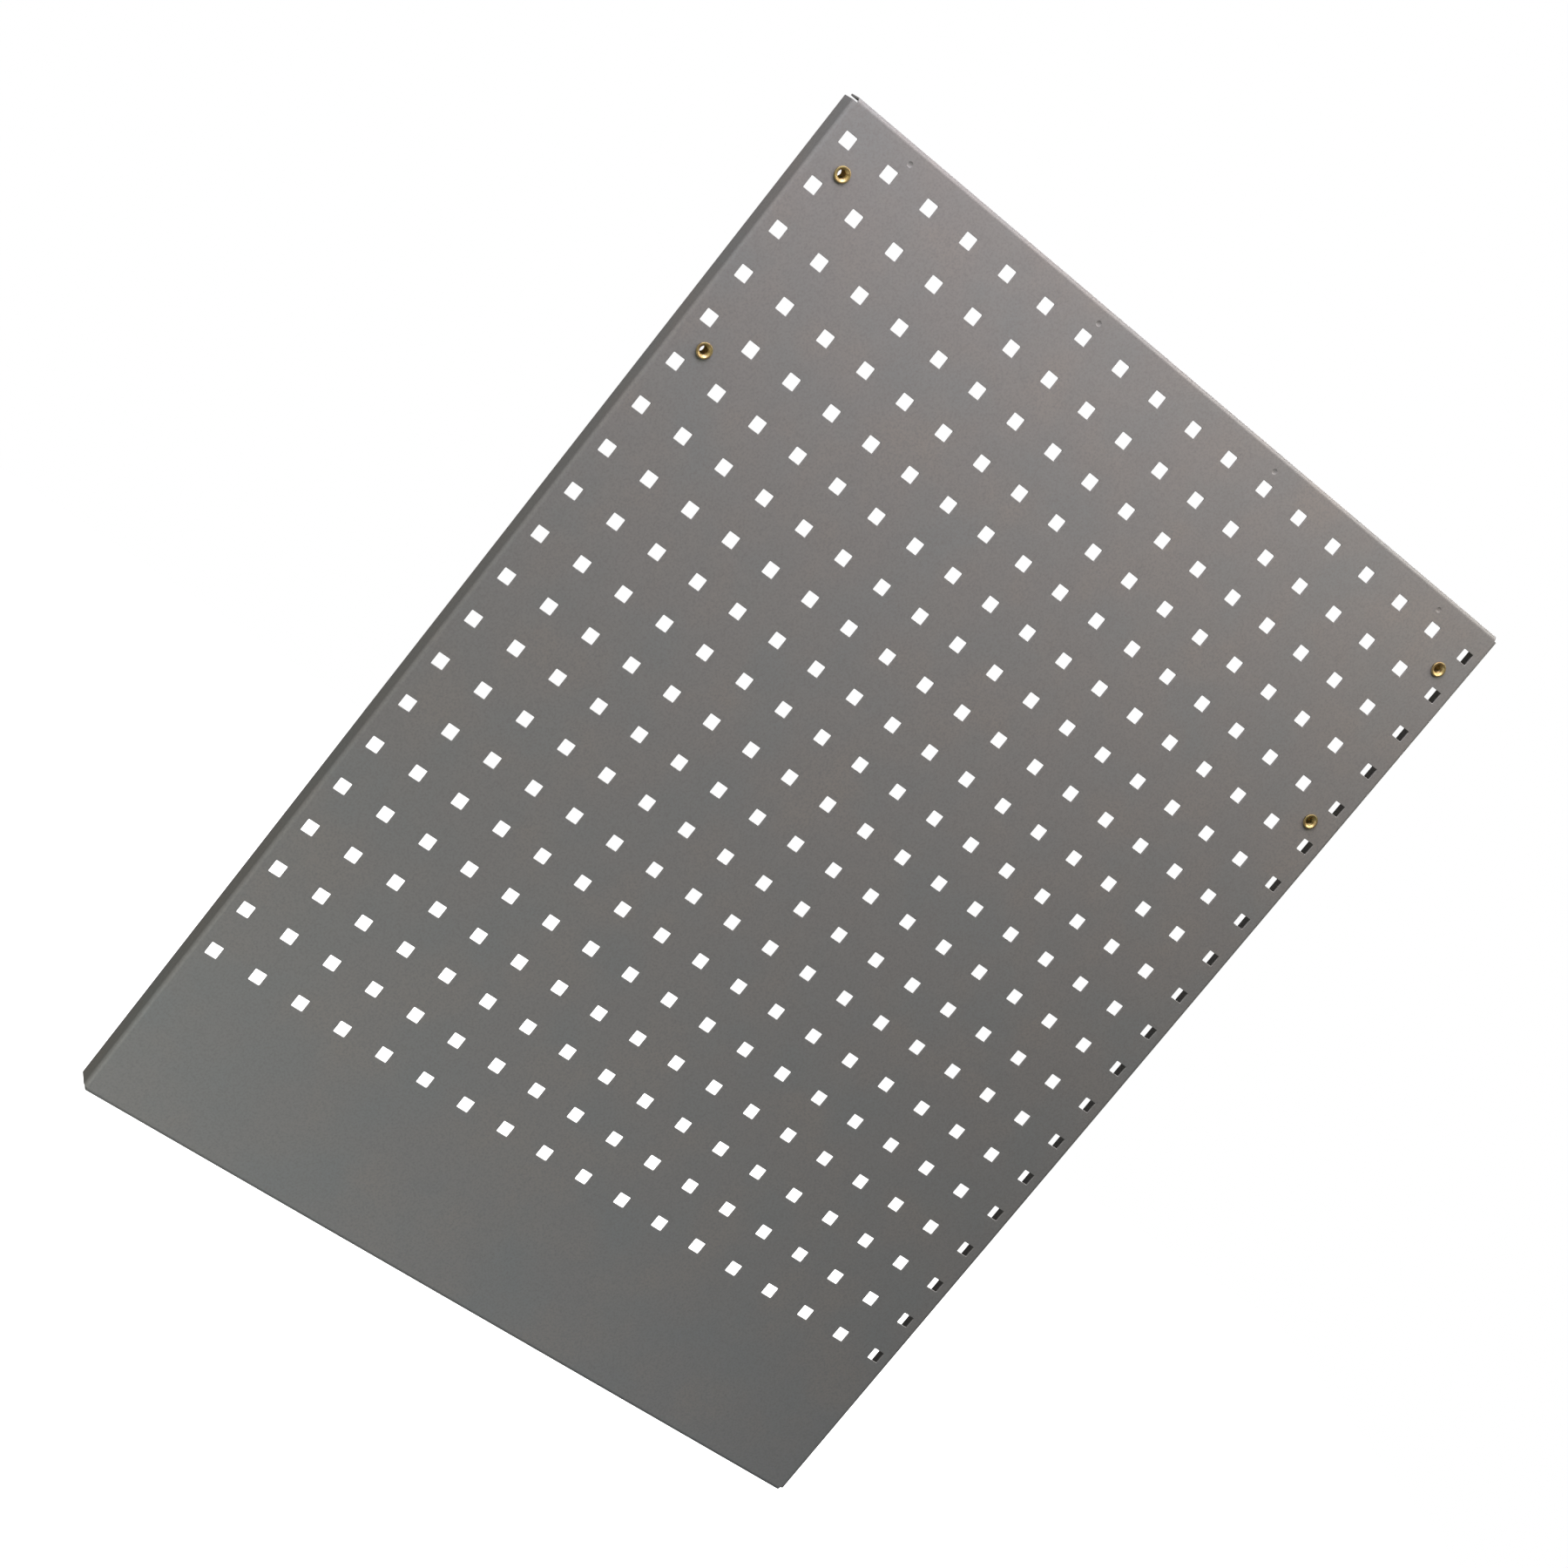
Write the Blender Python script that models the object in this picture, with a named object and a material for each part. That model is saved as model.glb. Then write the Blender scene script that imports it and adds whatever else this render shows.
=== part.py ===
# Pegboard tool panel for a workshop wall: one folded steel sheet with a grid of
# square hook holes, a hanging rail spot-welded behind its top edge, and four
# threaded inserts in its upper corners.
#
# Metres, +Z up. The front faces -Y, and the wall is the plane y = 0.
# The origin is the middle of the hanging rail's flat back face.

import math

import bmesh
import bpy
from mathutils import Matrix, Vector

CLEARANCE = 0.0003        # gap between pieces that touch

# Folded sheet
PANEL_WIDTH = 0.676
PANEL_HEIGHT = 0.889
PANEL_DEPTH = 0.022       # front face to the rear edges of the four flanges
SHEET = 0.0015
BEND_RADIUS = 0.0035      # outside of the bends; each corner is left open by as much
BEND_STEPS = 5

# Square hook holes
PITCH = 0.038             # between hole centres, both ways
HOLE = 0.010              # side of a hole
SIDE_MARGIN = 0.015       # least distance from a side edge to the outer columns' centres
TOP_MARGIN = 0.027        # top edge to the first row's centres
PLAIN_BAND = 0.140        # least distance from the last row's centres to the bottom edge

# Hanging rail, an inverted channel with one leg on the sheet and one on the wall
RAIL_SHEET = 0.0015
RAIL_BEND_RADIUS = 0.003
RAIL_BEND_STEPS = 4
RAIL_END_GAP = 0.028      # side edge of the panel to the rail's end
RAIL_ABOVE_HOLES = 0.002  # rail's weld leg to the first row of holes
HOOK_LEG = 0.0165         # height of the leg that hooks over the wall cleat

# Threaded inserts, M8 with a small flat head
INSERT_IN = 0.0115        # from the outer columns' centres towards the middle
INSERT_BELOW = 0.020      # from a row's centres down
INSERT_ROWS = (0, 4)      # the rows that the inserts sit below
BORE_RADIUS = 0.0034      # the thread's core
BORE_COUNTERSINK = 0.0009
BODY_WALL = 0.002
BODY_LENGTH = 0.0155      # from under the head to the tail
BODY_EDGE = 0.0005
HEAD_LIP = 0.0006         # the head's radius beyond the body's
HEAD_THICKNESS = 0.001
HEAD_EDGE = 0.0003
COLLAR_LIP = 0.0014       # the bulge that grips the back of the sheet, beyond the body
COLLAR_STRAIGHT = 0.001
COLLAR_TAPER = 0.002
TURN_STEPS = 24
CUTTER_STEPS = 32

# Worked out from the sizes above
ROUNDING = 1e-6           # keeps a whole number of pitches whole
COLUMNS = 1 + math.floor((PANEL_WIDTH - 2 * SIDE_MARGIN) / PITCH + ROUNDING)
ROWS = 1 + math.floor((PANEL_HEIGHT - TOP_MARGIN - PLAIN_BAND) / PITCH + ROUNDING)
OUTER_COLUMN = (COLUMNS - 1) * PITCH / 2
RAIL_TOP = (HOOK_LEG + RAIL_BEND_RADIUS) / 2
PANEL_TOP = RAIL_TOP + CLEARANCE + SHEET
PANEL_BOTTOM = PANEL_TOP - PANEL_HEIGHT
FRONT = -PANEL_DEPTH
BODY_RADIUS = BORE_RADIUS + BODY_WALL
FIRST_ROW = PANEL_TOP - TOP_MARGIN
LAST_ROW = FIRST_ROW - (ROWS - 1) * PITCH


def clear_scene():
    for obj in list(bpy.data.objects):
        bpy.data.objects.remove(obj)


def make_material(name, colour, roughness, metallic):
    material = bpy.data.materials.new(name)
    material.use_nodes = True
    shader = material.node_tree.nodes["Principled BSDF"]
    shader.inputs["Base Color"].default_value = (*colour, 1.0)
    shader.inputs["Roughness"].default_value = roughness
    shader.inputs["Metallic"].default_value = metallic
    return material


def panel_paint():
    return make_material("panel_grey_powder_coat", (0.19, 0.19, 0.185), 0.5, 0.0)


def rail_paint():
    return make_material("rail_grey_powder_coat", (0.17, 0.17, 0.165), 0.55, 0.0)


def insert_plating():
    return make_material("insert_yellow_zinc", (0.62, 0.45, 0.2), 0.35, 1.0)


def add_object(name, bm, material=None):
    mesh = bpy.data.meshes.new(name)
    bm.to_mesh(mesh)
    bm.free()
    obj = bpy.data.objects.new(name, mesh)
    bpy.context.collection.objects.link(obj)
    if material:
        mesh.materials.append(material)
    return obj


def kinds(geometry, kind):
    return [item for item in geometry if isinstance(item, kind)]


def faces_with_parts(faces):
    parts = set(faces)
    for face in faces:
        parts.update(face.edges)
        parts.update(face.verts)
    return list(parts)


def cut_across(bm, faces, point, normal):
    """Split some faces along a plane, and return all that they became."""
    result = bmesh.ops.bisect_plane(
        bm, geom=faces_with_parts(faces), plane_co=point, plane_no=normal, dist=1e-7
    )
    return kinds(result["geom"], bmesh.types.BMFace)


def hole_edges(first, count):
    """Both edges of each hole in a line of holes, lowest first."""
    centres = [first + number * PITCH for number in range(count)]
    return [centre + side * HOLE / 2 for centre in centres for side in (-1, 1)]


def is_hole(face):
    middle = face.calc_center_median()
    for place, first in ((middle.x, -OUTER_COLUMN), (middle.z, LAST_ROW)):
        pitches = (place - first) / PITCH
        if abs(pitches - round(pitches)) * PITCH > HOLE / 2:
            return False
    return True


def perforate(bm):
    """Cut the flat face along the lines of the holes and take the holes out."""
    across = hole_edges(-OUTER_COLUMN, COLUMNS)
    up = hole_edges(LAST_ROW, ROWS)
    x_axis, z_axis = Vector((1, 0, 0)), Vector((0, 0, 1))
    for x in (across[0], across[-1]):
        cut_across(bm, bm.faces[:], x_axis * x, x_axis)
    zone = [face for face in bm.faces if abs(face.calc_center_median().x) < across[-1]]
    for z in (up[0], up[-1]):
        zone = cut_across(bm, zone, z_axis * z, z_axis)
    zone = [face for face in zone if up[0] < face.calc_center_median().z < up[-1]]
    for x in across[1:-1]:
        zone = cut_across(bm, zone, x_axis * x, x_axis)
    for z in up[1:-1]:
        zone = cut_across(bm, zone, z_axis * z, z_axis)
    holes = [face for face in zone if is_hole(face)]
    bmesh.ops.delete(bm, geom=holes, context="FACES")


def fold_flange(bm, edges, centre, axis, angle):
    """Bend some edges of the face back round an axis, and run them on to the rear."""
    bent = bmesh.ops.spin(
        bm, geom=edges, cent=centre, axis=axis, angle=angle, steps=BEND_STEPS
    )
    last = kinds(bent["geom_last"], bmesh.types.BMEdge)
    flange = bmesh.ops.extrude_edge_only(bm, edges=last)
    bmesh.ops.translate(
        bm,
        verts=kinds(flange["geom"], bmesh.types.BMVert),
        vec=(0, PANEL_DEPTH - BEND_RADIUS, 0),
    )


def edges_where(bm, test):
    return [edge for edge in bm.edges if all(test(vert.co) for vert in edge.verts)]


def fold_all_flanges(bm):
    side = PANEL_WIDTH / 2 - BEND_RADIUS
    top = PANEL_TOP - BEND_RADIUS
    bottom = PANEL_BOTTOM + BEND_RADIUS
    depth = FRONT + BEND_RADIUS
    quarter = math.pi / 2
    near = BEND_RADIUS / 100
    left_edges = edges_where(bm, lambda co: abs(co.x + side) < near)
    right_edges = edges_where(bm, lambda co: abs(co.x - side) < near)
    top_edges = edges_where(bm, lambda co: abs(co.z - top) < near)
    bottom_edges = edges_where(bm, lambda co: abs(co.z - bottom) < near)
    fold_flange(bm, left_edges, (-side, depth, 0), (0, 0, 1), -quarter)
    fold_flange(bm, right_edges, (side, depth, 0), (0, 0, 1), quarter)
    fold_flange(bm, top_edges, (0, depth, top), (1, 0, 0), -quarter)
    fold_flange(bm, bottom_edges, (0, depth, bottom), (1, 0, 0), quarter)


def face_outwards(bm):
    """Turn every face the way of the foremost one, which looks along -Y."""
    bmesh.ops.recalc_face_normals(bm, faces=bm.faces[:])
    foremost = min(bm.faces, key=lambda face: face.calc_center_median().y)
    if foremost.normal.y > 0:
        bmesh.ops.reverse_faces(bm, faces=bm.faces[:])


def add_thickness(obj, thickness):
    solidify = obj.modifiers.new("sheet_thickness", "SOLIDIFY")
    solidify.thickness = thickness
    solidify.offset = -1
    solidify.use_even_offset = True
    solidify.use_quality_normals = True


def insert_places():
    """The name of each insert, and where its axis meets the front face."""
    places = {}
    for level, row in zip(("upper", "lower"), INSERT_ROWS):
        for hand, sign in (("left", -1), ("right", 1)):
            x = sign * (OUTER_COLUMN - INSERT_IN)
            z = FIRST_ROW - row * PITCH - INSERT_BELOW
            places[f"threaded_insert_{level}_{hand}"] = Vector((x, FRONT, z))
    return places


def make_insert_hole_cutter():
    bm = bmesh.new()
    along_y = Matrix.Rotation(math.pi / 2, 4, "X")
    for place in insert_places().values():
        bmesh.ops.create_cone(
            bm,
            cap_ends=True,
            segments=CUTTER_STEPS,
            radius1=BODY_RADIUS + CLEARANCE,
            radius2=BODY_RADIUS + CLEARANCE,
            depth=6 * SHEET,
            matrix=Matrix.Translation(place) @ along_y,
        )
    cutter = add_object("insert_hole_cutter", bm)
    cutter.display_type = "WIRE"
    cutter.hide_render = True
    return cutter


def make_panel(material, cutter):
    flat_width = PANEL_WIDTH - 2 * BEND_RADIUS
    flat_height = PANEL_HEIGHT - 2 * BEND_RADIUS
    middle = Vector((0, FRONT, (PANEL_TOP + PANEL_BOTTOM) / 2))
    upright = Matrix.Rotation(math.pi / 2, 4, "X")
    size = Matrix.Diagonal((flat_width, flat_height, 1, 1))
    bm = bmesh.new()
    bmesh.ops.create_grid(
        bm,
        x_segments=1,
        y_segments=1,
        size=0.5,
        matrix=Matrix.Translation(middle) @ upright @ size,
    )
    perforate(bm)
    fold_all_flanges(bm)
    face_outwards(bm)
    panel = add_object("perforated_panel", bm, material)
    add_thickness(panel, SHEET)
    drill = panel.modifiers.new("insert_holes", "BOOLEAN")
    drill.operation = "DIFFERENCE"
    drill.solver = "EXACT"
    drill.object = cutter
    return panel


def make_hanging_rail(material):
    """Bend a strip into a channel: weld leg, web under the top flange, hook leg."""
    half_length = PANEL_WIDTH / 2 - RAIL_END_GAP
    weld_face = FRONT + SHEET + CLEARANCE
    weld_leg_foot = FIRST_ROW + HOLE / 2 + RAIL_ABOVE_HOLES
    hook_leg_foot = RAIL_TOP - HOOK_LEG
    section = (
        (weld_face, weld_leg_foot),
        (weld_face, RAIL_TOP),
        (0, RAIL_TOP),
        (0, hook_leg_foot),
    )
    bm = bmesh.new()
    corners = [bm.verts.new((-half_length, y, z)) for y, z in section]
    strip = [bm.edges.new(pair) for pair in zip(corners, corners[1:])]
    drawn = bmesh.ops.extrude_edge_only(bm, edges=strip)
    bmesh.ops.translate(
        bm,
        verts=kinds(drawn["geom"], bmesh.types.BMVert),
        vec=(2 * half_length, 0, 0),
    )
    folds = [edge for edge in bm.edges if len(edge.link_faces) == 2]
    bmesh.ops.bevel(
        bm,
        geom=folds,
        affect="EDGES",
        offset=RAIL_BEND_RADIUS,
        offset_type="OFFSET",
        segments=RAIL_BEND_STEPS,
        profile=0.5,
        material=-1,
    )
    face_outwards(bm)
    rail = add_object("hanging_rail", bm, material)
    add_thickness(rail, RAIL_SHEET)
    return rail


def insert_profile():
    """Radius and depth of each corner of an insert's section, from its bore's mouth
    round the outside. Depth 0 is the sheet's front face, and the tail is behind it."""
    head_radius = BODY_RADIUS + HEAD_LIP
    head_front = -CLEARANCE - HEAD_THICKNESS
    collar_radius = BODY_RADIUS + COLLAR_LIP
    collar = SHEET + CLEARANCE
    tail = BODY_LENGTH - CLEARANCE
    return (
        (BORE_RADIUS + BORE_COUNTERSINK, head_front),
        (head_radius - HEAD_EDGE, head_front),
        (head_radius, head_front + HEAD_EDGE),
        (head_radius, -CLEARANCE),
        (BODY_RADIUS, -CLEARANCE),
        (BODY_RADIUS, collar),
        (collar_radius, collar),
        (collar_radius, collar + COLLAR_STRAIGHT),
        (BODY_RADIUS, collar + COLLAR_STRAIGHT + COLLAR_TAPER),
        (BODY_RADIUS, tail - BODY_EDGE),
        (BODY_RADIUS - BODY_EDGE, tail),
        (BORE_RADIUS, tail),
        (BORE_RADIUS, head_front + BORE_COUNTERSINK),
    )


def make_insert_mesh(material):
    bm = bmesh.new()
    ring = [bm.verts.new((radius, depth, 0)) for radius, depth in insert_profile()]
    outline = [bm.edges.new(pair) for pair in zip(ring, ring[1:] + ring[:1])]
    bmesh.ops.spin(
        bm,
        geom=outline,
        cent=(0, 0, 0),
        axis=(0, 1, 0),
        angle=2 * math.pi,
        steps=TURN_STEPS,
        use_merge=True,
    )
    bmesh.ops.remove_doubles(bm, verts=bm.verts[:], dist=1e-6)
    bmesh.ops.recalc_face_normals(bm, faces=bm.faces[:])
    mesh = bpy.data.meshes.new("threaded_insert")
    bm.to_mesh(mesh)
    bm.free()
    mesh.materials.append(material)
    mesh.shade_smooth()
    mesh.set_sharp_from_angle(angle=math.radians(30))
    return mesh


def make_inserts(material):
    mesh = make_insert_mesh(material)
    for name, place in insert_places().items():
        insert = bpy.data.objects.new(name, mesh)
        bpy.context.collection.objects.link(insert)
        insert.location = place


def main():
    clear_scene()
    cutter = make_insert_hole_cutter()
    make_panel(panel_paint(), cutter)
    make_hanging_rail(rail_paint())
    make_inserts(insert_plating())


main()
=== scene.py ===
import bpy
import bmesh
from math import asin, cos, pi, radians, sin
from mathutils import Matrix, Vector


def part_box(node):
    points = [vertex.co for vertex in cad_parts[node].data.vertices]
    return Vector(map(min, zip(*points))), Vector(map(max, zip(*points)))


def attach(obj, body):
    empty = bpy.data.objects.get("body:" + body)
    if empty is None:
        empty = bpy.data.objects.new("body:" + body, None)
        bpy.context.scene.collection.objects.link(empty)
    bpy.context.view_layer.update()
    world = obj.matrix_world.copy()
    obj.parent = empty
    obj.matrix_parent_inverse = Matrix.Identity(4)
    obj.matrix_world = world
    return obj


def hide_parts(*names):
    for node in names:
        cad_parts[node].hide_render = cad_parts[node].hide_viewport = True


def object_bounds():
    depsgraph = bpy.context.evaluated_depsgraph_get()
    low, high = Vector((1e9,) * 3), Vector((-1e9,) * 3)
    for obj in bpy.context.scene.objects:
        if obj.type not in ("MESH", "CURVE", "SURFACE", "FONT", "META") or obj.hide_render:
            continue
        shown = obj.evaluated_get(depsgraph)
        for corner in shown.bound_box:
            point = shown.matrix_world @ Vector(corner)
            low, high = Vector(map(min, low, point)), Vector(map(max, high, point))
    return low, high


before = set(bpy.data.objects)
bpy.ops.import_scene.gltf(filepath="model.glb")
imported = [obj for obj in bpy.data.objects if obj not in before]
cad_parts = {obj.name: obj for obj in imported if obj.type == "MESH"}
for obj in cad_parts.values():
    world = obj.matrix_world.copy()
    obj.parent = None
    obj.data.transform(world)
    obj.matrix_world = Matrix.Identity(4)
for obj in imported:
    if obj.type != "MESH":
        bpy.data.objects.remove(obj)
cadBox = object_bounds()
scene = bpy.context.scene
print("frame loaded:", ", ".join(sorted(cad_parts)))


def linear(hexCode):
    values = [int(hexCode[i:i + 2], 16) / 255 for i in (1, 3, 5)]
    return [v / 12.92 if v <= 0.04045 else ((v + 0.055) / 1.055) ** 2.4 for v in values] + [1.0]


def addNode(tree, kind, inputs=None, **settings):
    node = tree.nodes.new(kind)
    for name, value in settings.items():
        setattr(node, name, value)
    for name, value in (inputs or {}).items():
        if isinstance(value, bpy.types.NodeSocket):
            tree.links.new(value, node.inputs[name])
        else:
            node.inputs[name].default_value = value
    return node


def newMaterial(name):
    material = bpy.data.materials.new(name)
    material.use_nodes = True
    material.node_tree.nodes.clear()
    return material, material.node_tree


def makeObject(name, bm):
    mesh = bpy.data.meshes.new(name)
    bm.to_mesh(mesh)
    bm.free()
    piece = bpy.data.objects.new(name, mesh)
    scene.collection.objects.link(piece)
    return piece


def bakeModifiers(piece):
    # the finished shape replaces the mesh, so nothing is left live
    graph = bpy.context.evaluated_depsgraph_get()
    finished = bpy.data.meshes.new_from_object(piece.evaluated_get(graph))
    piece.modifiers.clear()
    rough, piece.data = piece.data, finished
    bpy.data.meshes.remove(rough)
    finished.name = piece.name


def edgesAlong(bm, axis, place, slack=1e-5):
    # open edges that lie at one place on an axis
    return [e for e in bm.edges if e.is_boundary
            and all(abs(v.co[axis] - place) < slack for v in e.verts)]


def pushEdges(bm, edges, move):
    # extrudes open edges by a move and returns the new edges
    made = bmesh.ops.extrude_edge_only(bm, edges=edges)["geom"]
    bmesh.ops.translate(bm, vec=move, verts=[g for g in made if isinstance(g, bmesh.types.BMVert)])
    return [g for g in made if isinstance(g, bmesh.types.BMEdge)]


def rollEdges(bm, edges, centre, axis, angle, steps):
    # bends a strip of sheet on from open edges and returns its last edges
    made = bmesh.ops.spin(bm, geom=edges, cent=centre, axis=axis, angle=angle, steps=steps,
                          dvec=(0, 0, 0), use_duplicate=False)
    return [g for g in made["geom_last"] if isinstance(g, bmesh.types.BMEdge)]


def roundSharpEdges(piece, width, segments, overDegrees):
    bm = bmesh.new()
    bm.from_mesh(piece.data)
    sharp = [e for e in bm.edges
             if len(e.link_faces) == 2 and e.calc_face_angle(0) > radians(overDegrees)]
    rim = bm.faces.layers.float.new("rim")
    rounded = bmesh.ops.bevel(bm, geom=sharp, offset=width, segments=segments, profile=0.5,
                              affect="EDGES", material=-1, clamp_overlap=False)
    for face in rounded["faces"]:
        face[rim] = 1.0           # these faces take the painted edge highlight
    bm.to_mesh(piece.data)
    bm.free()


def smoothShading(piece, splitDegrees=60):
    # large faces decide the normals, so flat sheet stays flat beside rounded edges
    piece.data.polygons.foreach_set("use_smooth", [True] * len(piece.data.polygons))
    piece.data.set_sharp_from_angle(angle=radians(splitDegrees))
    weighted = piece.modifiers.new("evenShading", "WEIGHTED_NORMAL")
    weighted.keep_sharp = True
    weighted.weight = 100


panel = {
    "sheet": 0.0015,              # steel thickness
    "bendRadius": 0.0035,         # outside of the four folds
    "bendSteps": 8,
    "pitch": 0.038,
    "hole": 0.010,
    "holeCorner": 0.0006,         # rounded corners of the punch
    "columns": 18,
    "rows": 20,
    "firstRowBelowTop": 0.027,
    "rimRound": 0.00028,          # coat and punch roll-over round every sharp edge
    "rimSteps": 1,
    "sharpDegrees": 60,           # edges sharper than this are rounded
    "insertHoleSlack": 0.0003,
    "drillTurnSteps": 40,
    "drillLength": 0.012,
    "weldColumns": (-0.2775, -0.0925, 0.0925, 0.2775),
    "weldBelowTop": 0.0125,
    "weldRadius": 0.0024,
    "weldDepth": 0.0006,
    "weldArcSteps": 5,
    "weldTurnSteps": 28,
    "weldOverrun": 1.06,          # the dish's cutter ends this much past the face, so it is open
}
insert = {
    "bodyRadius": 0.0054,
    "boreRadius": 0.0034,
    "countersink": 0.0014,
    "headRadius": 0.006,
    "headThickness": 0.001,
    "headEdge": 0.0004,
    "gripLength": 0.0021,         # head underside to the set bulge
    "bulgeRadius": 0.0068,
    "bulgeLength": 0.0032,
    "bulgeFlat": 0.45,            # share of the bulge before it tapers to the body
    "bulgeRounds": (0.0008, 0.0006, 0.0005),
    "crispEdge": 0.0001,
    "softEdge": 0.0002,
    "threadPitch": 0.00125,
    "threadDepth": 0.0005,
    "threadStart": 0.0006,        # first crest in from the tail
    "threadRunout": 0.0004,       # plain bore left behind the countersink
    "crestWidth": 0.2,            # crest, flank and root as shares of the pitch
    "rootStart": 0.55,
    "rootEnd": 0.65,
    "endChamfer": 0.0006,
    "turnSteps": 48,
    "splitDegrees": 40,           # edges sharper than this stay crisp in the shading
}
insertNodes = ["threaded_insert_upper_left", "threaded_insert_upper_right",
               "threaded_insert_lower_left", "threaded_insert_lower_right"]


def boxMiddle(node):
    low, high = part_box(node)
    return (low + high) / 2


def punchedCell(bm):
    # a rounded square hole in one square of sheet, lying in the XY plane
    half = panel["pitch"] / 2
    bmesh.ops.create_grid(bm, x_segments=1, y_segments=1, size=panel["hole"] / 2)
    bmesh.ops.bevel(bm, geom=bm.verts[:], offset=panel["holeCorner"], segments=2, profile=0.5,
                    affect="VERTICES", material=-1)
    slug = bm.faces[:]
    outline = bm.edges[:]
    ring = bmesh.ops.extrude_edge_only(bm, edges=outline)["geom"]
    for v in ring:
        if isinstance(v, bmesh.types.BMVert):
            v.co *= half / max(abs(v.co.x), abs(v.co.y))
    bmesh.ops.delete(bm, geom=slug, context="FACES")


def copyRow(bm, count, step):
    source = bm.verts[:] + bm.edges[:] + bm.faces[:]
    for i in range(1, count):
        made = bmesh.ops.duplicate(bm, geom=source)["geom"]
        bmesh.ops.translate(bm, vec=step * i,
                            verts=[g for g in made if isinstance(g, bmesh.types.BMVert)])


def lensCutter(x, z, front):
    # a shallow dish that sinks one weld mark into the face
    radius, depth = panel["weldRadius"], panel["weldDepth"]
    ball = (radius * radius + depth * depth) / (2 * depth)
    reach = panel["weldOverrun"] * asin(radius / ball)
    bm = bmesh.new()
    last = [bm.verts.new((0, depth, 0))]
    for i in range(1, panel["weldArcSteps"] + 1):
        angle = reach * i / panel["weldArcSteps"]
        last = bmesh.ops.extrude_vert_indiv(bm, verts=last)["verts"]
        last[0].co = (ball * sin(angle), depth - ball * (1 - cos(angle)), 0)
    bmesh.ops.spin(bm, geom=bm.verts[:] + bm.edges[:], cent=(0, 0, 0), axis=(0, 1, 0),
                   angle=2 * pi, steps=panel["weldTurnSteps"], dvec=(0, 0, 0), use_merge=True)
    bmesh.ops.remove_doubles(bm, verts=bm.verts, dist=1e-6)
    bmesh.ops.holes_fill(bm, edges=[e for e in bm.edges if e.is_boundary], sides=0)
    bmesh.ops.recalc_face_normals(bm, faces=bm.faces)
    bmesh.ops.translate(bm, vec=(x, front, z), verts=bm.verts)
    return makeObject("weldCutter", bm)


def drillCutter(node, front):
    spot = boxMiddle(node)
    bm = bmesh.new()
    radius = insert["bodyRadius"] + panel["insertHoleSlack"]
    bmesh.ops.create_cone(bm, cap_ends=True, segments=panel["drillTurnSteps"],
                          depth=panel["drillLength"], radius1=radius, radius2=radius)
    bmesh.ops.rotate(bm, verts=bm.verts, cent=(0, 0, 0), matrix=Matrix.Rotation(pi / 2, 3, "X"))
    bmesh.ops.translate(bm, vec=(spot.x, front, spot.z), verts=bm.verts)
    return makeObject("drillCutter", bm)


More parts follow.
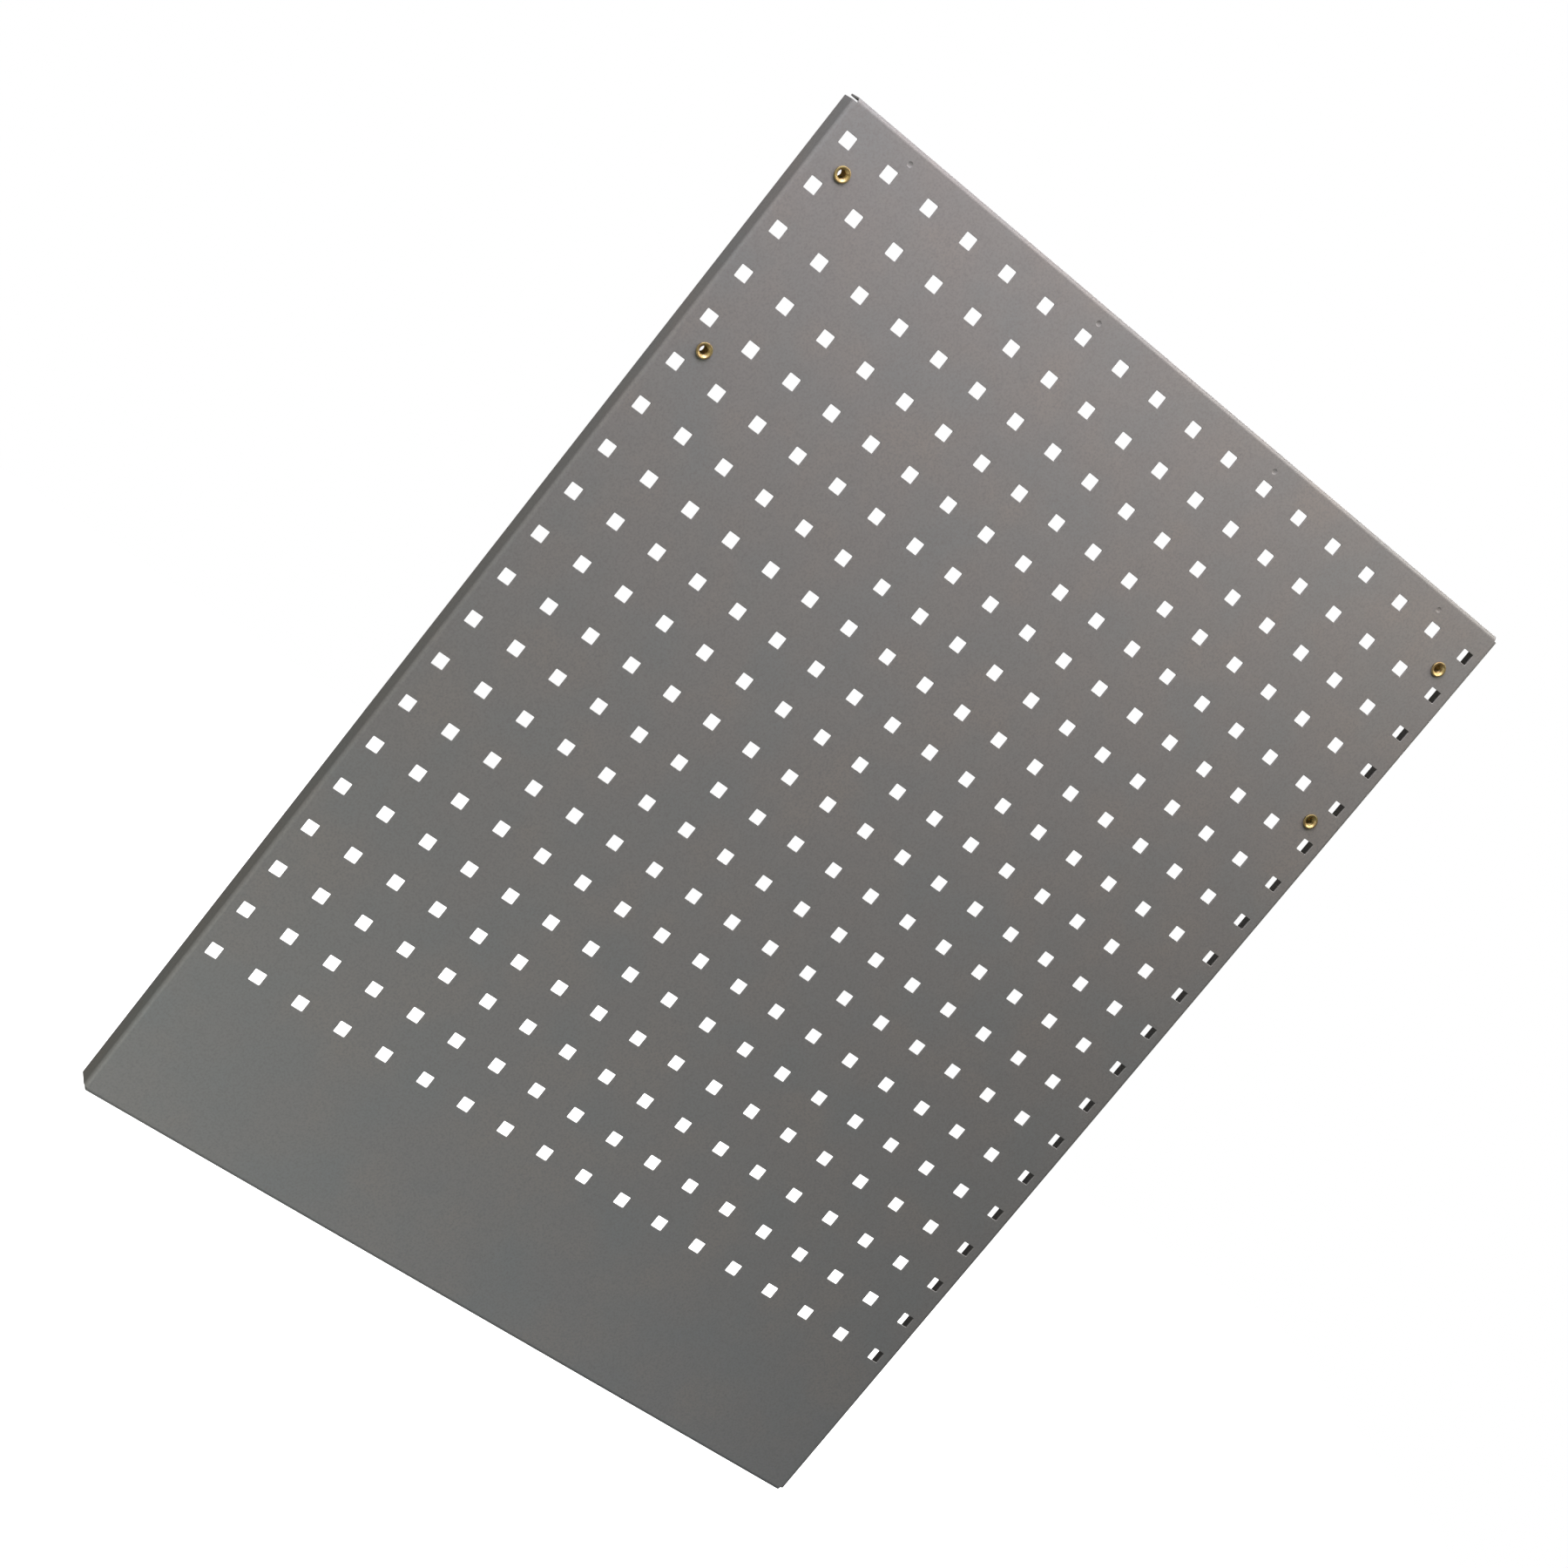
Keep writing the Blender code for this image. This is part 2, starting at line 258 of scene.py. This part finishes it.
def makePanel():
    low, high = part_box("perforated_panel")
    bend, pitch = panel["bendRadius"], panel["pitch"]
    left, right = low.x + bend, high.x - bend
    top, bottom = high.z - bend, low.z + bend
    bm = bmesh.new()
    punchedCell(bm)
    copyRow(bm, panel["columns"], Vector((pitch, 0, 0)))
    copyRow(bm, panel["rows"], Vector((0, -pitch, 0)))
    bmesh.ops.remove_doubles(bm, verts=bm.verts, dist=1e-5)
    bmesh.ops.rotate(bm, verts=bm.verts, cent=(0, 0, 0), matrix=Matrix.Rotation(pi / 2, 3, "X"))
    firstColumn = (low.x + high.x - pitch * (panel["columns"] - 1)) / 2
    firstRow = high.z - panel["firstRowBelowTop"]
    bmesh.ops.translate(bm, vec=(firstColumn, low.y, firstRow), verts=bm.verts)
    for x, away in ((left, -1), (right, 1)):
        bmesh.ops.bisect_plane(bm, geom=bm.verts[:] + bm.edges[:] + bm.faces[:], dist=1e-7,
                               plane_co=(x, 0, 0), plane_no=(away, 0, 0), clear_outer=True)
    cellTop = firstRow + pitch / 2
    cellBottom = firstRow - pitch * (panel["rows"] - 0.5)
    pushEdges(bm, edgesAlong(bm, 2, cellTop), (0, 0, top - cellTop))
    pushEdges(bm, edgesAlong(bm, 2, cellBottom), (0, 0, bottom - cellBottom))

    # the four returns are folded back, each from bend line to bend line
    backOff = high.y - low.y - bend
    centreY = low.y + bend
    folds = [(edgesAlong(bm, 0, left), (left, centreY, 0), (0, 0, -1)),
             (edgesAlong(bm, 0, right), (right, centreY, 0), (0, 0, 1)),
             (edgesAlong(bm, 2, top), (0, centreY, top), (-1, 0, 0)),
             (edgesAlong(bm, 2, bottom), (0, centreY, bottom), (1, 0, 0))]
    for edges, centre, axis in folds:
        last = rollEdges(bm, edges, centre, axis, pi / 2, panel["bendSteps"])
        pushEdges(bm, last, (0, backOff, 0))
    bmesh.ops.remove_doubles(bm, verts=bm.verts, dist=1e-6)
    bmesh.ops.recalc_face_normals(bm, faces=bm.faces)
    foremost = min(bm.faces, key=lambda f: f.calc_center_median().y)
    if foremost.normal.y > 0:
        bmesh.ops.reverse_faces(bm, faces=bm.faces)
    piece = makeObject("punchedPanel", bm)

    wall = piece.modifiers.new("sheet", "SOLIDIFY")
    wall.thickness = panel["sheet"]
    wall.offset = -1
    wall.use_even_offset = True
    wall.use_quality_normals = True
    cutters = [drillCutter(node, low.y) for node in insertNodes]
    cutters += [lensCutter(x, high.z - panel["weldBelowTop"], low.y) for x in panel["weldColumns"]]
    for cutter in cutters:
        cut = piece.modifiers.new("cut", "BOOLEAN")
        cut.operation = "DIFFERENCE"
        cut.solver = "EXACT"
        cut.object = cutter
    bakeModifiers(piece)
    for cutter in cutters:
        bpy.data.objects.remove(cutter)
    roundSharpEdges(piece, panel["rimRound"], panel["rimSteps"], panel["sharpDegrees"])
    smoothShading(piece)
    return piece


panelPiece = makePanel()
print("panel:", len(panelPiece.data.polygons), "faces")


rail = {
    "sheet": 0.0015,
    "bendRadius": 0.003,
    "bendSteps": 6,
    "hookLegLength": 0.0165,
    "cornerRound": 0.004,         # end corners of the two legs
    "cornerSteps": 5,
    "rimRound": 0.00025,
    "rimSteps": 2,
    "sharpDegrees": 60,
}


def makeRail():
    low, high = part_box("hanging_rail")
    bend = rail["bendRadius"]
    bm = bmesh.new()
    start = bm.edges.new((bm.verts.new((low.x, low.y, low.z)), bm.verts.new((high.x, low.y, low.z))))
    weldLeg = pushEdges(bm, [start], (0, 0, high.z - bend - low.z))
    turn = rollEdges(bm, weldLeg, (0, low.y + bend, high.z - bend), (-1, 0, 0), pi / 2,
                     rail["bendSteps"])
    web = pushEdges(bm, turn, (0, high.y - low.y - 2 * bend, 0))
    turn = rollEdges(bm, web, (0, high.y - bend, high.z - bend), (-1, 0, 0), pi / 2,
                     rail["bendSteps"])
    pushEdges(bm, turn, (0, 0, bend - rail["hookLegLength"]))
    corners = [v for v in bm.verts if len(v.link_edges) == 2]
    bmesh.ops.bevel(bm, geom=corners, offset=rail["cornerRound"],
                    segments=rail["cornerSteps"], profile=0.5, affect="VERTICES", material=-1)
    bmesh.ops.remove_doubles(bm, verts=bm.verts, dist=1e-6)
    bmesh.ops.recalc_face_normals(bm, faces=bm.faces)
    foremost = min(bm.faces, key=lambda f: f.calc_center_median().y)
    if foremost.normal.y > 0:
        bmesh.ops.reverse_faces(bm, faces=bm.faces)
    piece = makeObject("hangingRail", bm)
    wall = piece.modifiers.new("sheet", "SOLIDIFY")
    wall.thickness = rail["sheet"]
    wall.offset = -1
    wall.use_even_offset = True
    wall.use_quality_normals = True
    bakeModifiers(piece)
    roundSharpEdges(piece, rail["rimRound"], rail["rimSteps"], rail["sharpDegrees"])
    smoothShading(piece)
    return piece


railPiece = makeRail()
print("rail:", len(railPiece.data.polygons), "faces")


def insertOutline(node):
    # half section as (radius, y, corner round) from the front of the bore round to it again
    low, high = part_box(node)
    bore, body = insert["boreRadius"], insert["bodyRadius"]
    head = insert["headRadius"]
    front, back = low.y, high.y
    under = front + insert["headThickness"]
    bulge = under + insert["gripLength"]
    crisp, soft = insert["crispEdge"], insert["softEdge"]
    wide = insert["bulgeRadius"]
    shoulder, taper, neck = insert["bulgeRounds"]
    points = [(bore, front + insert["countersink"], crisp),
              (bore + insert["countersink"], front, soft),
              (head, front, insert["headEdge"]),
              (head, under, soft),
              (body, under, 0),
              (body, bulge, 0),
              (wide, bulge, shoulder),
              (wide, bulge + insert["bulgeFlat"] * insert["bulgeLength"], taper),
              (body, bulge + insert["bulgeLength"], neck),
              (body, back - insert["endChamfer"], soft),
              (body - insert["endChamfer"], back, soft),
              (bore + insert["threadDepth"] + crisp, back, crisp)]
    y = back - insert["threadStart"]
    pitch = insert["threadPitch"]
    while y - pitch > front + insert["countersink"] + insert["threadRunout"]:
        points += [(bore, y, 0),
                   (bore, y - insert["crestWidth"] * pitch, 0),
                   (bore + insert["threadDepth"], y - insert["rootStart"] * pitch, 0),
                   (bore + insert["threadDepth"], y - insert["rootEnd"] * pitch, 0)]
        y -= pitch
    points.append((bore, y, 0))
    return points


def makeInsert(name, node):
    spot = boxMiddle(node)
    bm = bmesh.new()
    run = bm.verts.layers.float.new("profileRun")
    outline = insertOutline(node)
    verts = [bm.verts.new((r, y, 0)) for r, y, _ in outline]
    for i, v in enumerate(verts):
        bm.edges.new((v, verts[(i + 1) % len(verts)]))
    for v, (_, _, corner) in zip(verts, outline):
        if corner:
            bmesh.ops.bevel(bm, geom=[v], offset=corner, segments=3, profile=0.5,
                            affect="VERTICES", material=-1)
    for v in bm.verts:
        v[run] = v.co.x + v.co.y
    bmesh.ops.spin(bm, geom=bm.verts[:] + bm.edges[:], cent=(0, 0, 0), axis=(0, 1, 0),
                   angle=2 * pi, steps=insert["turnSteps"], dvec=(0, 0, 0), use_merge=True)
    bmesh.ops.remove_doubles(bm, verts=bm.verts, dist=1e-7)
    bmesh.ops.recalc_face_normals(bm, faces=bm.faces)
    bmesh.ops.translate(bm, vec=(spot.x, 0, spot.z), verts=bm.verts)
    piece = makeObject(name, bm)
    smoothShading(piece, insert["splitDegrees"])
    return piece


insertPieces = {}
for node in insertNodes:
    words = node.split("_")[1:]
    name = words[0] + "".join(w.capitalize() for w in words[1:])
    insertPieces[node] = makeInsert(name, node)
print("inserts:", ", ".join(p.name for p in insertPieces.values()))


coat = {
    "roughness": 0.5,
    "grainSize": 0.0016,          # real grain is about 0.3 mm, drawn coarser so that it shows
    "grainHeight": 0.000008,
    "peelSize": 0.005,
    "peelHeight": 0.00002,
    "cloudSize": 0.045,
    "cloudFrom": 0.42,            # noise values where a cloud begins and is full
    "cloudTo": 0.68,
    "speckleFrom": 0.42,
    "speckleTo": 0.72,
    "coolShift": (3.1, 1.7, 0.6),  # keeps the cool clouds apart from the warm ones
    "coolScale": 0.8,
    "smoother": 0.05,             # roughness lost in the hollows of the orange peel
    "rougher": 0.06,              # and gained on its crests
}


def powderCoat(name, colour, warmColour, coolColour, grainColour, edgeHighlightColour):
    # polyester powder coat, fine texture, sprayed and baked: a dull grey with a faint grain that
    # drifts between warm and cool, and a painted highlight a trace lighter on the rounded edges
    material, tree = newMaterial(name)
    place = addNode(tree, "ShaderNodeTexCoord").outputs["Object"]
    warmCloud = addNode(tree, "ShaderNodeTexNoise",
                        {"Vector": place, "Scale": 1 / coat["cloudSize"], "Detail": 3.0})
    shifted = addNode(tree, "ShaderNodeMapping", {"Vector": place, "Location": coat["coolShift"]})
    coolCloud = addNode(tree, "ShaderNodeTexNoise",
                        {"Vector": shifted.outputs["Vector"],
                         "Scale": coat["coolScale"] / coat["cloudSize"], "Detail": 3.0})
    peel = addNode(tree, "ShaderNodeTexNoise",
                   {"Vector": place, "Scale": 1 / coat["peelSize"], "Detail": 2.0})
    grain = addNode(tree, "ShaderNodeTexNoise",
                    {"Vector": place, "Scale": 1 / coat["grainSize"], "Detail": 3.0})
    rim = addNode(tree, "ShaderNodeAttribute", attribute_name="rim")
    warmth = addNode(tree, "ShaderNodeMapRange",
                     {"Value": warmCloud.outputs["Fac"], "From Min": coat["cloudFrom"],
                      "From Max": coat["cloudTo"]})
    cool = addNode(tree, "ShaderNodeMapRange",
                   {"Value": coolCloud.outputs["Fac"], "From Min": coat["cloudFrom"],
                    "From Max": coat["cloudTo"]})
    speckle = addNode(tree, "ShaderNodeMapRange",
                      {"Value": grain.outputs["Fac"], "From Min": coat["speckleFrom"],
                       "From Max": coat["speckleTo"]})
    # painted highlight: the rounded edges are mixed toward a lighter grey, patchy with the peel
    # noise
    edgeHighlightMask = addNode(tree, "ShaderNodeMath",
                   {0: rim.outputs["Fac"], 1: peel.outputs["Fac"]}, operation="MULTIPLY")
    warmed = addNode(tree, "ShaderNodeMix",
                     {"Factor": warmth.outputs["Result"], 6: linear(colour),
                      7: linear(warmColour)}, data_type="RGBA")
    cooled = addNode(tree, "ShaderNodeMix",
                     {"Factor": cool.outputs["Result"], 6: warmed.outputs[2],
                      7: linear(coolColour)}, data_type="RGBA")
    grainy = addNode(tree, "ShaderNodeMix",
                     {"Factor": speckle.outputs["Result"], 6: cooled.outputs[2],
                      7: linear(grainColour)}, data_type="RGBA")
    edgeHighlighted = addNode(tree, "ShaderNodeMix",
                   {"Factor": edgeHighlightMask.outputs[0], 6: grainy.outputs[2], 7: linear(edgeHighlightColour)},
                   data_type="RGBA")
    gloss = addNode(tree, "ShaderNodeMapRange",
                    {"Value": peel.outputs["Fac"], "From Min": 0.3, "From Max": 0.7,
                     "To Min": coat["roughness"] - coat["smoother"],
                     "To Max": coat["roughness"] + coat["rougher"]})
    orangePeel = addNode(tree, "ShaderNodeBump",
                         {"Height": peel.outputs["Fac"], "Distance": coat["peelHeight"],
                          "Strength": 1.0})
    fineGrain = addNode(tree, "ShaderNodeBump",
                        {"Height": grain.outputs["Fac"], "Distance": coat["grainHeight"],
                         "Strength": 1.0, "Normal": orangePeel.outputs["Normal"]})
    shader = addNode(tree, "ShaderNodeBsdfPrincipled",
                     {"Base Color": edgeHighlighted.outputs[2], "Roughness": gloss.outputs["Result"],
                      "IOR": 1.5, "Metallic": 0.0, "Normal": fineGrain.outputs["Normal"]})
    addNode(tree, "ShaderNodeOutputMaterial", {"Surface": shader.outputs["BSDF"]})
    return material


plating = {
    "roughness": 0.5,
    "tintSize": 0.0045,
    "turningMark": 0.0005,        # cutter feed is finer, drawn at half a millimetre so that it shows
    "turningHeight": 0.000012,
    "gold": "#c2aa78",
    "olive": "#aea16c",
    "rose": "#bf9879",
    "roseStrength": 0.6,
    "smoother": 0.07,             # roughness lost and gained as the tint drifts
    "rougher": 0.1,
}


def yellowZinc(name):
    # steel, zinc plated and yellow passivated: a satin gold that drifts to olive and rose
    material, tree = newMaterial(name)
    place = addNode(tree, "ShaderNodeTexCoord").outputs["Object"]
    tint = addNode(tree, "ShaderNodeTexNoise",
                   {"Vector": place, "Scale": 1 / plating["tintSize"], "Detail": 2.0})
    other = addNode(tree, "ShaderNodeTexNoise",
                    {"Vector": place, "Scale": 2.3 / plating["tintSize"], "Detail": 2.0, "W": 3.0},
                    noise_dimensions="4D")
    run = addNode(tree, "ShaderNodeAttribute", attribute_name="profileRun")
    olive = addNode(tree, "ShaderNodeMapRange",
                    {"Value": tint.outputs["Fac"], "From Min": 0.4, "From Max": 0.65})
    rose = addNode(tree, "ShaderNodeMapRange",
                   {"Value": other.outputs["Fac"], "From Min": 0.5, "From Max": 0.75,
                    "To Max": plating["roseStrength"]})
    gold = addNode(tree, "ShaderNodeMix",
                   {"Factor": olive.outputs["Result"], 6: linear(plating["gold"]),
                    7: linear(plating["olive"])}, data_type="RGBA")
    blush = addNode(tree, "ShaderNodeMix",
                    {"Factor": rose.outputs["Result"], 6: gold.outputs[2],
                     7: linear(plating["rose"])}, data_type="RGBA")
    turns = addNode(tree, "ShaderNodeMath",
                    {0: run.outputs["Fac"], 1: 2 * pi / plating["turningMark"]},
                    operation="MULTIPLY")
    marks = addNode(tree, "ShaderNodeMath", {0: turns.outputs[0]}, operation="SINE")
    gloss = addNode(tree, "ShaderNodeMapRange",
                    {"Value": tint.outputs["Fac"], "From Min": 0.3, "From Max": 0.7,
                     "To Min": plating["roughness"] - plating["smoother"],
                     "To Max": plating["roughness"] + plating["rougher"]})
    rings = addNode(tree, "ShaderNodeBump",
                    {"Height": marks.outputs[0], "Distance": plating["turningHeight"],
                     "Strength": 1.0})
    shader = addNode(tree, "ShaderNodeBsdfPrincipled",
                     {"Base Color": blush.outputs[2], "Roughness": gloss.outputs["Result"],
                      "Metallic": 1.0, "Normal": rings.outputs["Normal"]})
    addNode(tree, "ShaderNodeOutputMaterial", {"Surface": shader.outputs["BSDF"]})
    return material


# the last colour of each coat is its painted edge highlight
panelPaint = powderCoat("powderCoatedSteelGrey", "#7f7d7a", "#837f7a", "#7c7d7b", "#767472",
                        "#8c8a86")
railPaint = powderCoat("powderCoatedSteelRail", "#787673", "#7c7873", "#757674", "#706e6b",
                       "#86837f")
insertPlating = yellowZinc("yellowZincPlatedSteel")


def dress(piece, node, material):
    piece.data.materials.clear()
    piece.data.materials.append(material)
    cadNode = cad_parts[node]
    for slot in cadNode.material_slots:
        slot.material = material
    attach(piece, "root")
    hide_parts(node)


dress(panelPiece, "perforated_panel", panelPaint)
dress(railPiece, "hanging_rail", railPaint)
for node, piece in insertPieces.items():
    dress(piece, node, insertPlating)
print("materials on:", len(insertPieces) + 2, "pieces")

studio = {
    "floorDrop": 0.32,            # floor below the panel's lower edge
    "floorSize": 6.0,
    "floorGlow": 1.0,
    "backdrop": 1.0,
    "roomLight": 0.08,
}


def makeFloor():
    low, high = cadBox
    bm = bmesh.new()
    bmesh.ops.create_grid(bm, x_segments=4, y_segments=4, size=studio["floorSize"] / 2)
    bmesh.ops.translate(bm, vec=(0, 0, low.z - studio["floorDrop"]), verts=bm.verts)
    floor = makeObject("floor", bm)
    # white acrylic sheet lit from below: it stays white without a hard shadow
    material, tree = newMaterial("opalAcrylicFloor")
    place = addNode(tree, "ShaderNodeTexCoord").outputs["Object"]
    haze = addNode(tree, "ShaderNodeTexNoise", {"Vector": place, "Scale": 2.0, "Detail": 2.0})
    tone = addNode(tree, "ShaderNodeMix",
                   {"Factor": haze.outputs["Fac"], 6: linear("#f4f4f3"), 7: linear("#f0f0ef")},
                   data_type="RGBA")
    shader = addNode(tree, "ShaderNodeBsdfPrincipled",
                     {"Base Color": tone.outputs[2], "Roughness": 0.6,
                      "Emission Color": (1.0, 1.0, 1.0, 1.0),
                      "Emission Strength": studio["floorGlow"]})
    addNode(tree, "ShaderNodeOutputMaterial", {"Surface": shader.outputs["BSDF"]})
    floor.data.materials.append(material)
    material.cycles.emission_sampling = "NONE"
    floor.visible_diffuse = False     # its glow is for the eye only, not a light on the panel
    floor.visible_glossy = False


def makeRoom():
    world = bpy.data.worlds.new("paleRoom")
    world.use_nodes = True
    tree = world.node_tree
    tree.nodes.clear()
    seen = addNode(tree, "ShaderNodeLightPath").outputs["Is Camera Ray"]
    strength = addNode(tree, "ShaderNodeMapRange",
                       {"Value": seen, "To Min": studio["roomLight"],
                        "To Max": studio["backdrop"]})
    air = addNode(tree, "ShaderNodeBackground",
                  {"Color": (1.0, 1.0, 1.0, 1.0), "Strength": strength.outputs["Result"]})
    addNode(tree, "ShaderNodeOutputWorld", {"Surface": air.outputs["Background"]})
    scene.world = world


# place, aim point, width, height, watts, colour
lamps = {
    "softboxTopLeft": ((-0.7, -0.5, 0.9), (-0.2, 0.0, -0.2), 1.0, 0.6, 24.8, "#f0efff"),
    "softboxTopRight": ((0.7, -0.5, 0.9), (0.2, 0.0, -0.2), 1.0, 0.6, 13.6, "#fdfff5"),
    "stripAbove": ((-0.05, -0.35, 0.47), (0.0, 0.0, -0.1), 1.4, 0.45, 3.4, "#ffe4de"),
    "softboxLeft": ((-1.8, -0.8, 0.0), (0.0, 0.0, -0.4), 1.0, 1.6, 7.1, "#ffffde"),
    "cardLow": ((0.0, -0.5, -1.12), (0.0, 0.0, -0.8), 1.4, 0.5, 1.4, "#e5f2ff"),
    "cardLowLeft": ((-0.6, -0.6, -1.12), (-0.2, 0.0, -0.8), 0.8, 0.5, 2.6, "#fbfff4"),
    "softboxBack": ((1.3, 1.7, 0.5), (0.0, 0.0, -0.4), 1.6, 1.6, 60.0, "#ffffff"),
}


def makeLamps():
    for name, (place, aim, width, height, watts, colour) in lamps.items():
        light = bpy.data.lights.new(name, "AREA")
        light.shape = "RECTANGLE"
        light.size, light.size_y = width, height
        light.energy = watts
        light.color = linear(colour)[:3]
        lamp = bpy.data.objects.new(name, light)
        lamp.location = place
        lamp.rotation_euler = (Vector(aim) - Vector(place)).to_track_quat("-Z", "Y").to_euler()
        lamp.visible_camera = False
        scene.collection.objects.link(lamp)


view = {
    "place": (-0.97423, -2.00732, -0.09476),
    "aim": (-0.05760, -0.022, -0.40188),
    "rollDegrees": 38.969,
    "lens": 69.09,
    "sensor": 36,
    "clipEnd": 50,
}


def makeCamera():
    lens = bpy.data.cameras.new("camera")
    lens.lens = view["lens"]
    lens.sensor_width = view["sensor"]
    lens.clip_end = view["clipEnd"]
    camera = bpy.data.objects.new("camera", lens)
    camera.location = view["place"]
    look = (Vector(view["aim"]) - Vector(view["place"])).to_track_quat("-Z", "Y")
    roll = Matrix.Rotation(radians(view["rollDegrees"]), 3, "Z")
    camera.rotation_euler = (look.to_matrix() @ roll).to_euler()
    scene.collection.objects.link(camera)
    scene.camera = camera


makeFloor()
makeRoom()
makeLamps()
makeCamera()
scene.view_settings.view_transform = "Standard"
print("studio, lamps and camera set")
